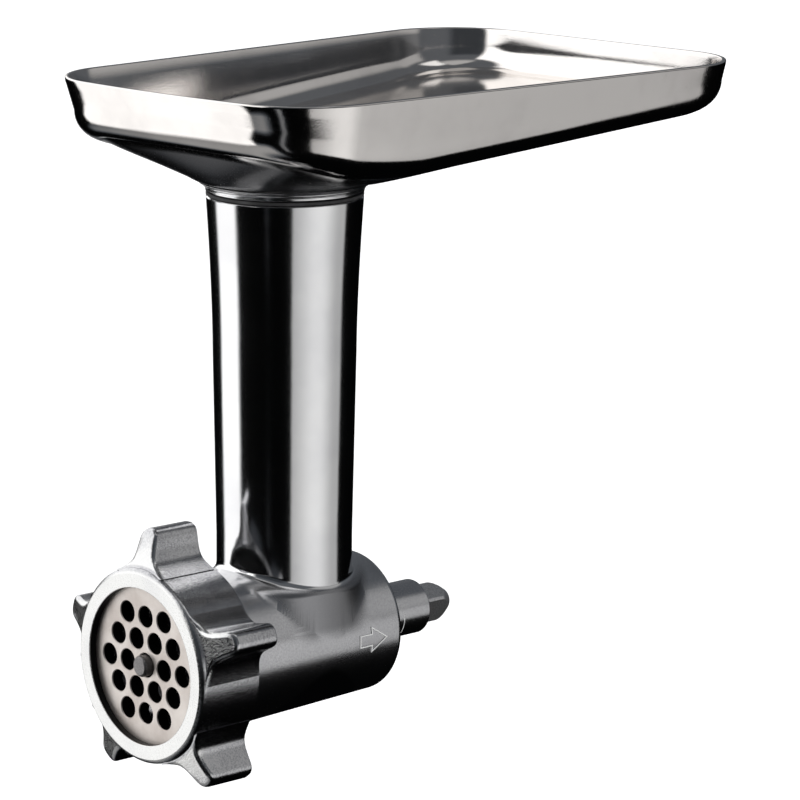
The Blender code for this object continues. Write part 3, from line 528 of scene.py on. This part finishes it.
def buildCasting():
    c = castingSizes
    root = c["threadRoot"]
    stations = [(root - 0.6, c["mouth"]), (root, c["mouth"] + 0.6)]
    stations += [(root, c["threadFront"] + c["threadLength"] * k / 36) for k in range(37)]
    neckY, flareY = -87.8, -75.8
    for k in range(13):
        share = k / 12
        blend = share * share * (3 - 2 * share)
        y = neckY + (flareY - neckY) * share
        stations.append((root + (barrelRadius(flareY) - root) * blend, y))
    stations += [(barrelRadius(y), y) for y in (-60, -45, -30, -15)]
    for k in range(9):
        turn = math.pi / 2 * k / 8
        y = -c["rearEdge"] * (1 - math.sin(turn))
        stations.append((barrelRadius(y) - c["rearEdge"] * (1 - math.cos(turn)), y))
    stations += [(c["spigot"] + 0.8, 0.0), (c["spigot"] + 0.2, 0.25), (c["spigot"], 0.8)]
    stations += [(c["spigot"], 28.2), (c["spigot"] - 0.25, 28.75), (c["spigot"] - 0.8, 29.0)]
    body = turned("bodyCasting", stations, sides=192, ring=False)
    cutThread(body, root, True)

    heights = [40.0, 60.0, 85.0, 110.0] + [110.0 + 58.0 * k / 12 for k in range(1, 13)]
    rings = 1 + len(footPoints(0.0)) + len(heights) + 1
    tube = turned("tube", [(20.0, 4.0 + k) for k in range(rings)], True, 192, False)
    for column in range(192):
        at = tube.data.vertices[column].co / mm
        angle = math.atan2(at.y - tubeY, at.x)
        section = [(c["tubeFoot"] - 2, 4.0)] + footPoints(angle)
        section += [(tubeRadius(z), z) for z in heights] + [(c["tubeTop"] - 0.5, c["top"])]
        for k, (radius, z) in enumerate(section):
            spot = Vector((radius * math.cos(angle), tubeY + radius * math.sin(angle), z))
            tube.data.vertices[k * 192 + column].co = spot * mm
    joined(body, tube, "UNION")

    outline = [(-23, -2.4), (-17, -2.4), (-17, -5), (-9, 0), (-17, 5), (-17, 2.4), (-23, 2.4)]
    arrow = pillar("arrow", outline, 25.0, 32.0)
    joined(arrow, pillar("arrowInside", shrunk(outline, 0.42), 24.0, 33.0), "DIFFERENCE")
    for vertex in arrow.data.vertices:  # the cast outline points to the rear on the +X side
        vertex.co = Vector((vertex.co.y, vertex.co.x, vertex.co.z))
    tidyNormals(arrow)
    skin = turned("arrowSkin", [(barrelRadius(y) + 0.35, y) for y in (-28.0, -4.0)], sides=192, ring=False)
    joined(arrow, skin, "INTERSECT")
    joined(body, arrow, "UNION")

    knifeRoom = plateY + 12.5
    slope = 30.0 - c["boreRadius"]
    bore = [(31.3, -105.0), (31.3, plateY + 5.3), (30.0, plateY + 5.3), (30.0, knifeRoom)]
    bore += [(c["boreRadius"], knifeRoom + slope), (c["boreRadius"], -12.0), (11.3, -12.0)]
    bore += [(11.3, -1.6), (8.1, -1.6), (8.1, 28.4), (8.7, 29.05), (8.8, 30.0)]
    joined(body, turned("bore", bore, sides=160, ring=False), "DIFFERENCE")
    feed = [(c["tubeBore"], 2.0), (c["tubeBore"], 153.0), (c["tubeSeat"], 155.0)]
    feed += [(c["tubeSeat"], 168.1), (c["tubeSeat"] + 0.5, 168.55), (c["tubeSeat"] + 0.6, 169.5)]
    joined(body, turned("feedBore", feed, True, 160, False), "DIFFERENCE")
    key = turned("keyHole", [(1.8, 0), (1.8, 8)], sides=24, ring=False)
    for vertex in key.data.vertices:
        x, y, z = vertex.co
        vertex.co = Vector((x, z + (-102.8 - 98.7) / 2 * mm, -29.9 * mm - y))
    tidyNormals(key)
    joined(body, key, "DIFFERENCE")
    smoothed(body, 32)
    finished(body, "casting", "cast_metal", castMetal, "grinder_body")


buildCasting()
print("casting built")

# ring nut, in mm
nutSizes = {"radius": 36.6, "face": 34.8, "opening": 29.5, "lip": 2.9, "crest": 34.55}


def buildNut():
    n = nutSizes
    c = castingSizes
    lipBack = nutFrontY + n["lip"]
    edge = n["radius"] - n["face"]
    stations = [(n["opening"], lipBack), (n["opening"], nutFrontY + 0.5)]
    stations += [(n["opening"] + 0.15, nutFrontY + 0.15), (n["opening"] + 0.5, nutFrontY)]
    stations += [(n["face"] - 0.15, nutFrontY), (n["face"] + 0.15, nutFrontY + 0.1)]
    stations += [(n["face"] + 0.8, nutFrontY + 0.6), (n["face"] + 1.35, nutFrontY + 1.15)]
    stations += [(n["radius"] - 0.1, nutFrontY + edge - 0.1), (n["radius"], nutFrontY + edge + 0.5)]
    stations += [(n["radius"], nutBackY - 0.6), (n["radius"] - 0.18, nutBackY - 0.18)]
    stations += [(n["radius"] - 0.6, nutBackY), (n["crest"] + 0.4, nutBackY), (n["crest"], nutBackY - 0.4)]
    inner = [c["threadFront"] + c["threadLength"] * k / 36 for k in range(36, -1, -1)]
    stations += [(n["crest"], y) for y in inner] + [(n["crest"], lipBack)]
    nut = turned("ringNut", stations, sides=192)
    cutThread(nut, n["crest"], False)

    half = 4.6
    shape = [(2.9, 34.4), (2.35, 35.8), (2.0, 36.9), (1.68, 37.9), (1.45, 38.9), (1.28, 40.2)]
    shape += [(1.17, 41.8), (1.08, 44.2), (1.0, 47.1), (0.93, 48.4), (0.8, 49.4), (0.6, 50.15)]
    shape += [(0.38, 50.55), (0.14, 50.7)]
    side = [(half * x, z) for x, z in shape]
    outline = side + [(-x, z) for x, z in reversed(side)]
    rounding = [(0.0, 2.0), (0.12, 1.4), (0.45, 0.8), (0.95, 0.32), (1.5, 0.07), (2.1, 0.0)]
    back = nutBackY - 0.9 - nutFrontY
    layers = rounding + [(back - 1.2, 0.0), (back - 0.4, 0.25), (back, 0.9)]
    lobe = pillar("lobe", outline, 0.0, 1.0, len(layers) - 1)
    count = len(outline)
    for k, (depth, inset) in enumerate(layers):
        for i, (x, z) in enumerate(outline):
            before, after = Vector(outline[i - 1]), Vector(outline[(i + 1) % count])
            run = (after - before).normalized()
            share = 0.0 if z < 35 else min(1.0, (z - 35) / 3)  # the root stays wide inside the ring
            spot = Vector((x, z)) + Vector((-run.y, run.x)) * inset * share
            start = edge + 0.2 + (z - 36.6) * 4.5 / 14.1  # the front falls back towards the tip
            y = nutFrontY + (start + depth if k < len(rounding) else depth)
            lobe.data.vertices[k * count + i].co = Vector((spot.x, y, spot.y)) * mm
    tidyNormals(lobe)
    for k in range(5):
        copy = lobe.copy()
        copy.data = lobe.data.copy()
        bpy.context.collection.objects.link(copy)
        copy.data.transform(Matrix.Rotation(math.radians(72 * k - 2.7), 4, "Y"))
        joined(nut, copy, "UNION")
    bpy.data.objects.remove(lobe, do_unlink=True)
    smoothed(nut, 32)
    finished(nut, "ring", "ring_metal", nutMetal, "ring_nut")


buildNut()
print("ring nut built")

# grinding plate, in mm
plateSizes = {"radius": 31.0, "thick": 5.0, "hole": 4.0, "pitch": 10.6, "pinHole": 4.5}


def buildPlate():
    p = plateSizes
    back = plateY + p["thick"]
    stations = [(p["radius"] - 0.4, plateY), (p["radius"], plateY + 0.4)]
    stations += [(p["radius"], back - 0.4), (p["radius"] - 0.4, back)]
    plate = turned("grindingPlate", stations, sides=160, ring=False)
    tools = []
    for row in range(-2, 3):
        inRow = 5 - abs(row)
        for k in range(inRow):
            x = (k - (inRow - 1) / 2) * p["pitch"]
            z = row * p["pitch"] * math.sqrt(3) / 2
            radius = p["pinHole"] if row == 0 and x == 0 else p["hole"]
            lip = 0.3
            hole = [(radius + 1, plateY - 1 + lip), (radius, plateY + lip), (radius, back - lip)]
            hole.append((radius + 1, back + 1 - lip))
            tool = turned("hole", hole, sides=48, ring=False)
            tool.data.transform(Matrix.Translation((x * mm, 0, z * mm)))
            tools.append(tool)
    clearSelection()
    for tool in tools:
        tool.select_set(True)
    bpy.context.view_layer.objects.active = tools[0]
    bpy.ops.object.join()
    joined(plate, tools[0], "DIFFERENCE")
    slotShape = [(-1.8, -29.6), (1.8, -29.6), (1.8, -34), (-1.8, -34)]
    joined(plate, pillar("keySlot", slotShape, plateY - 5, back + 5), "DIFFERENCE")
    smoothed(plate, 30)
    finished(plate, "plate", "plate_steel", plateSteel, "grinding_plate")


buildPlate()
print("plate built")


def buildStud():
    knifeFront = plateY + 5.3
    stations = [(3.2, -69.9), (5.0, -70.5), (5.0, -90.2), (5.8, -90.3), (5.8, knifeFront)]
    stations += [(4.0, knifeFront), (4.0, nutFrontY + 1.0), (3.75, nutFrontY + 0.5), (3.1, nutFrontY)]
    stud = turned("knifeStud", stations, sides=96, ring=False)
    for k in range(4):
        side = [(4.7, -9), (9, -9), (9, 9), (4.7, 9)]
        block = pillar("flat", side, -90.25, knifeFront - 0.05)
        block.data.transform(Matrix.Rotation(math.pi / 2 * k, 4, "Y"))
        joined(stud, block, "DIFFERENCE")
    smoothed(stud, 30)
    finished(stud, "auger", "stud_steel", studSteel, "knife_stud")


def buildShank():
    rootEnd = -14.0 - 24.0
    stations = [(4.9, rootEnd), (5.7, rootEnd + 0.8), (5.7, -13.7), (7.2, -13.7), (7.6, -13.3)]
    stations += [(7.6, 29.3), (7.6, 38.6), (7.35, 39.6), (6.9, 40.6), (4.5, 44.4), (4.0, 45.0)]
    stations += [(3.2, 45.5)]
    shank = turned("driveShank", stations, sides=128, ring=False)
    for k in range(4):
        side = [(5.8, -12), (12, -12), (12, 12), (5.8, 12)]
        block = pillar("flat", side, 29.3, 48.0)
        block.data.transform(Matrix.Rotation(-math.radians(68 + 90 * k), 4, "Y"))
        joined(shank, block, "DIFFERENCE")
    cross = turned("crossHole", [(1.8, -12), (1.8, 12)], sides=32, ring=False)
    cross.data.transform(Matrix.Rotation(-math.pi / 2, 4, "Z"))
    cross.data.transform(Matrix.Rotation(-math.radians(23), 4, "Y"))
    cross.data.transform(Matrix.Translation((0, -26.0 * mm, 0)))
    joined(shank, cross, "DIFFERENCE")
    edgesRounded(shank, 0.25, 3, 28)
    smoothed(shank, 30)
    finished(shank, "auger", "shank_steel", shankSteel, "drive_shank")


buildStud()
buildShank()
print("stud and shank built")


def buildSealRing():
    seal = [(25.9, 168.9), (25.9, 169.9), (26.05, 170.0), (29.2, 170.0), (29.4, 169.8), (29.4, 169.0)]
    seal += [(29.2, 168.8), (26.05, 168.8)]
    ring = turned("sealRing", seal, True, 160)
    smoothed(ring, 40)
    finished(ring, "seal_ring", "rubber", sealRubber, "tray_seal_ring")


def buildNeck():
    collar = [(24.0, 155.3), (25.4, 155.3), (25.6, 155.5), (25.6, 170.3), (29.2, 170.3), (29.5, 170.5)]
    collar += [(29.6, 170.75), (29.6, 171.0), (29.42, 171.08), (29.42, 171.2), (29.75, 171.3)]
    collar += [(29.85, 171.6), (29.72, 171.7), (29.74, 171.85), (30.1, 171.95), (30.35, 172.3)]
    collar += [(30.24, 172.42), (30.3, 172.55), (30.75, 172.7), (31.2, 173.1), (31.9, 173.45)]
    collar += [(32.0, 173.6), (31.95, 173.7), (24.3, 173.7), (24.0, 173.4)]
    neck = turned("trayNeck", collar, True, 192)
    smoothed(neck, 40)
    finished(neck, "tray", "neck_metal", neckMetal, "tray_neck")


traySizes = {
    "rimZ": 212.0,
    "frontWidth": 140.0,
    "rearWidth": 167.0,
    "front": 60.0,
    "rear": 178.0,
    "turn": 3.9,
    "bow": 5.0,
    "frontCorner": 30.0,
    "rearCorner": 34.0,
    "sheet": 1.2,
    "bead": 0.6,
    "draftFront": 2.8,
    "draftRear": 0.8,
    "bend": 11.0,
    "sag": 0.8,
    "collarTop": 173.7,
    "floorLow": 181.6,
    "floorFront": 189.3,
    "floorRear": 194.0,
}


def cornerArc(before, corner, after, radius, steps):
    one = (before - corner).normalized()
    two = (after - corner).normalized()
    half = one.angle(two) / 2
    centre = corner + (one + two).normalized() * radius / math.sin(half)
    first = corner + one * radius / math.tan(half) - centre
    last = corner + two * radius / math.tan(half) - centre
    sweep = first.angle(last)
    points = []
    for k in range(steps + 1):
        share = k / steps
        arm = first * math.sin((1 - share) * sweep) + last * math.sin(share * sweep)
        points.append(centre + arm / math.sin(sweep))
    return points


def trayOutline():
    t = traySizes
    front, rear = t["frontWidth"] / 2, t["rearWidth"] / 2
    corners = [(front, -t["front"]), (rear, t["rear"]), (-rear, t["rear"]), (-front, -t["front"])]
    corners = [Vector((x, y, 0)) for x, y in corners]
    radii = [t["frontCorner"], t["rearCorner"], t["rearCorner"], t["frontCorner"]]
    arcs = [cornerArc(corners[k - 1], corners[k], corners[(k + 1) % 4], radii[k], 18) for k in range(4)]
    points = []
    for k in range(4):
        points += arcs[k]
        start, end = arcs[k][-1], arcs[(k + 1) % 4][0]
        pieces = max(2, round((end - start).length / 4))
        points += [start.lerp(end, s / pieces) for s in range(1, pieces)]
    for point in points:
        if point.y < 0:
            share = max(0.0, 1 - (point.x / front) ** 2)
            point.y -= t["bow"] * share * min(1.0, -point.y / (t["front"] - t["frontCorner"]))
    result = []
    for i, point in enumerate(points):
        run = points[(i + 1) % len(points)] - points[i - 1]
        result.append((point, Vector((run.y, -run.x, 0)).normalized()))
    return result


def traySection(rim, out):
    t = traySizes
    share = (rim.y + t["front"]) / (t["front"] + t["rear"])
    if rim.y < 0:
        floorZ = t["floorLow"] + (t["floorFront"] - t["floorLow"]) * (rim.y / t["front"]) ** 2
    else:
        floorZ = t["floorLow"] + (t["floorRear"] - t["floorLow"]) * rim.y / t["rear"]
    inward = rim.normalized()
    point = rim - out * t["bead"]
    base = point - out * (t["draftFront"] + (t["draftRear"] - t["draftFront"]) * share)
    up = Vector((0, 0, 1))
    under, upper = [], []
    for k in range(11):
        turn = math.pi / 2 * k / 10
        side = t["bend"] * (1 - math.sin(turn))
        rise = t["bend"] * (1 - math.cos(turn))
        under.append(base - out * side + up * (floorZ + rise))
        side += t["sheet"] * math.sin(turn)
        rise += t["sheet"] * math.cos(turn)
        upper.append(base - out * side + up * (floorZ + rise))
    z = t["rimZ"]
    b = t["bead"]
    s = t["sheet"]
    low = t["collarTop"] + 0.3
    lower = [inward * 24.3 + up * low, inward * 32 + up * low, inward * 35.5 + up * (low + 1.6), under[0]]
    floorUnder = softened(lower, [5.0, 5.0], 4)[:-1]
    last = floorUnder[-1]
    floorUnder += [last.lerp(under[0], k / 5) - up * t["sag"] * 0.16 * k * (5 - k) for k in range(1, 5)]
    higher = [upper[0], inward * 35.5 + up * (low + 1.6 + s), inward * 31.5 + up * (low + s)]
    higher.append(inward * 24.3 + up * (low + s))
    floorUpper = softened(higher, [5.0, 5.0], 4)[1:]
    floorUpper = [upper[0].lerp(floorUpper[0], k / 5) for k in range(1, 5)] + floorUpper
    wallOut = [under[-1].lerp(rim - out * 0.12 + up * (z - 1.6), k / 4) for k in range(1, 5)]
    edge = [rim - out * 0.06 + up * (z - 1.0), rim + up * (z - 0.9 * b)]
    edge.append(rim - out * 0.08 + up * (z - 0.45 * b))
    edge += [rim - out * 0.22 + up * (z - 0.14 * b), rim - out * 0.45 + up * z]
    edge += [point - out * (s - 0.4) + up * z, point - out * (s - 0.1) + up * (z - 0.15)]
    edge += [point - out * s + up * (z - 0.4)]
    wallIn = [edge[-1].lerp(upper[-1], k / 4) for k in range(1, 4)]
    section = floorUnder + under + wallOut + edge + wallIn + upper[::-1] + floorUpper
    return section, len(floorUnder)


def buildTray():
    t = traySizes
    outline = trayOutline()
    sections, hidden = zip(*[traySection(rim, out) for rim, out in outline])
    sides, rings = len(sections), len(sections[0])
    pan = turned("trayPan", [(60.0, 180.0 + k) for k in range(rings)], True, sides)
    turn = Matrix.Rotation(math.radians(t["turn"]), 4, "Z")
    for column, section in enumerate(sections):
        for k, spot in enumerate(section):
            pan.data.vertices[k * sides + column].co = (turn @ spot + Vector((0, tubeY, 0))) * mm
    tidyNormals(pan)
    smoothed(pan, 60, False)
    # these rows of the tray's lower face carry the mask for the painted shade by the neck
    paintedUnderShade = pan.data.attributes.new("paintedUnderShade", "FLOAT", "POINT")
    for k, spot in enumerate(paintedUnderShade.data):
        spot.value = 1.0 if k // sides < hidden[0] else 0.0
    finished(pan, "tray", "tray_steel", traySteel, "tray_pan")
    print("tray", sides, rings)


buildSealRing()
buildNeck()
buildTray()
print("tray built")

# floor, light and camera
clearSelection()
bpy.ops.mesh.primitive_plane_add(size=60.0, location=(0, 0, -0.15))
floor = bpy.context.object
floor.name = "floor"
paper = Finish(materials, "palePaper", Roughness=0.9)
paper.shader.inputs["Emission Strength"].default_value = 0.75
paper.shader.inputs["Emission Color"].default_value = (1, 1, 1, 1)
paper.shader.inputs["Specular IOR Level"].default_value = 0.0
floorShade = paper.blend(paper.noise(3.0, 2), (0.93, 0.93, 0.93), (0.90, 0.90, 0.90))
floor.data.materials.append(paper.wear(floorShade))
floor.visible_glossy = False
floor.visible_shadow = False

roomLight = {
    "white": 1.3,
    "glow": 0.34,  # of the pale table in front of the part
    "side": 0.3,
    "fill": 0.12,
    "top": 0.34,
    "dark": 0.001,
}


def buildRoom():
    room = Finish(bpy.data.worlds, "studioRoom")
    background = room.tree.nodes["Background"]
    parts = room.tree.nodes.new("ShaderNodeSeparateXYZ")
    room.feed(parts.inputs[0], room.node("ShaderNodeTexCoord", out=0))
    x, y, z = (Val(room, parts.outputs[k]) for k in range(3))
    angle = room.node("ShaderNodeMath", {"operation": "ARCTAN2"}, {0: x, 1: y * -1.0}) * (180 / math.pi)
    rise = room.node("ShaderNodeMath", {"operation": "ARCSINE"}, {0: z}) * (180 / math.pi)

    def patch(left, right, low, high, soft=4.0):
        wide = room.spread(angle, left - soft, left + soft)
        wide = wide * room.spread(angle, right - soft, right + soft, 1.0, 0.0)
        tall = room.spread(rise, low - soft, low + soft)
        tall = tall * room.spread(rise, high - soft, high + soft, 1.0, 0.0)
        return wide * tall

    white = patch(-72, -29, -38, 52).maths("MAXIMUM", patch(-126, 4, 3, 54))
    light = white * roomLight["white"]
    light = light + roomLight["glow"] * patch(-98, -2, -62, -38, 9.0)
    light = light + roomLight["side"] * patch(108, 156, 8, 42, 6.0)
    light = light + roomLight["top"] * patch(-5, 85, 62, 92, 6.0)
    light = light + 0.3 * patch(-131, -118, -18, -6, 3.0)
    light = light + 0.9 * patch(88, 128, 52, 78, 4.0)
    light = light + 0.22 * patch(20, 25, -48, -19, 2.0)
    shade = 1.0 - 0.6 * patch(5, 58, -10, 34, 8.0)
    light = light + roomLight["fill"] * room.spread(rise, -5.0, 7.0) * shade
    light = light + roomLight["dark"]
    tint = room.blend(room.spread(light, 0.02, 0.3), (0.84, 0.93, 1.06), (1.0, 1.0, 1.0))
    glow = room.node("ShaderNodeVectorMath", {"operation": "SCALE"}, {0: tint, 3: light})
    room.feed(background.inputs["Color"], glow)
    bpy.context.scene.world = room.owner


def buildPanel():
    # a curved soft panel beside the part, seen only in its polish
    plan = {"radius": 0.9, "left": 59, "right": 152, "low": -0.43, "high": 0.16, "columns": 48}
    clearSelection()
    bpy.ops.mesh.primitive_grid_add(x_subdivisions=plan["columns"], y_subdivisions=1, size=1)
    panel = bpy.context.object
    panel.name = "softPanel"
    for vertex in panel.data.vertices:
        turn = math.radians(plan["left"] + (plan["right"] - plan["left"]) * (vertex.co.x + 0.5))
        z = plan["low"] + (plan["high"] - plan["low"]) * (vertex.co.y + 0.5)
        vertex.co = (plan["radius"] * math.sin(turn), tubeY * mm - plan["radius"] * math.cos(turn), z)
    f = Finish(materials, "panelGlow", Roughness=1.0)
    f.shader.inputs["Base Color"].default_value = (0, 0, 0, 1)
    f.shader.inputs["Specular IOR Level"].default_value = 0.0
    f.shader.inputs["Emission Strength"].default_value = 1.0
    ahead = f.along(1) * -1.0 + tubeY * mm
    turn = f.node("ShaderNodeMath", {"operation": "ARCTAN2"}, {0: f.along(0), 1: ahead})
    turn = turn * (180 / math.pi)
    power = f.spread(turn, 56, 100, 0.5, 0.9) - f.spread(turn, 105, 140, 0.0, 0.42)
    power = power * f.spread(f.along(2), -0.42, -0.33) * f.spread(f.along(2), 0.10, 0.16, 1.0, 0.3)
    power = power * f.spread(turn, 59, 62) * f.spread(turn, 147, 152, 1.0, 0.0)
    f.feed(f.shader.inputs["Emission Color"], f.blend(power, (0, 0, 0), (1.0, 1.0, 1.0)))
    panel.data.materials.append(f.owner)
    panel.visible_camera = False
    panel.visible_shadow = False
    panel.visible_diffuse = True


buildPanel()
buildRoom()
bpy.context.scene.view_settings.view_transform = "Standard"

cameraPlan = {
    "lens": 177.8,
    "place": (1.1000, -0.9799, 0.3942),
    "azimuth": 47.687,
    "elevation": 11.821,
    "roll": 0.479,
}
clearSelection()
bpy.ops.object.camera_add(location=cameraPlan["place"])
camera = bpy.context.object
camera.name = "mainCamera"
camera.data.lens = cameraPlan["lens"]
camera.data.sensor_width = 36.0
camera.data.clip_start = 0.01
camera.data.clip_end = 200.0
aim = Matrix.Rotation(math.radians(cameraPlan["azimuth"]), 3, "Z")
aim = aim @ Matrix.Rotation(math.radians(90 - cameraPlan["elevation"]), 3, "X")
aim = aim @ Matrix.Rotation(math.radians(cameraPlan["roll"]), 3, "Z")
camera.rotation_euler = aim.to_euler()
bpy.context.scene.camera = camera
print("light and camera ready")
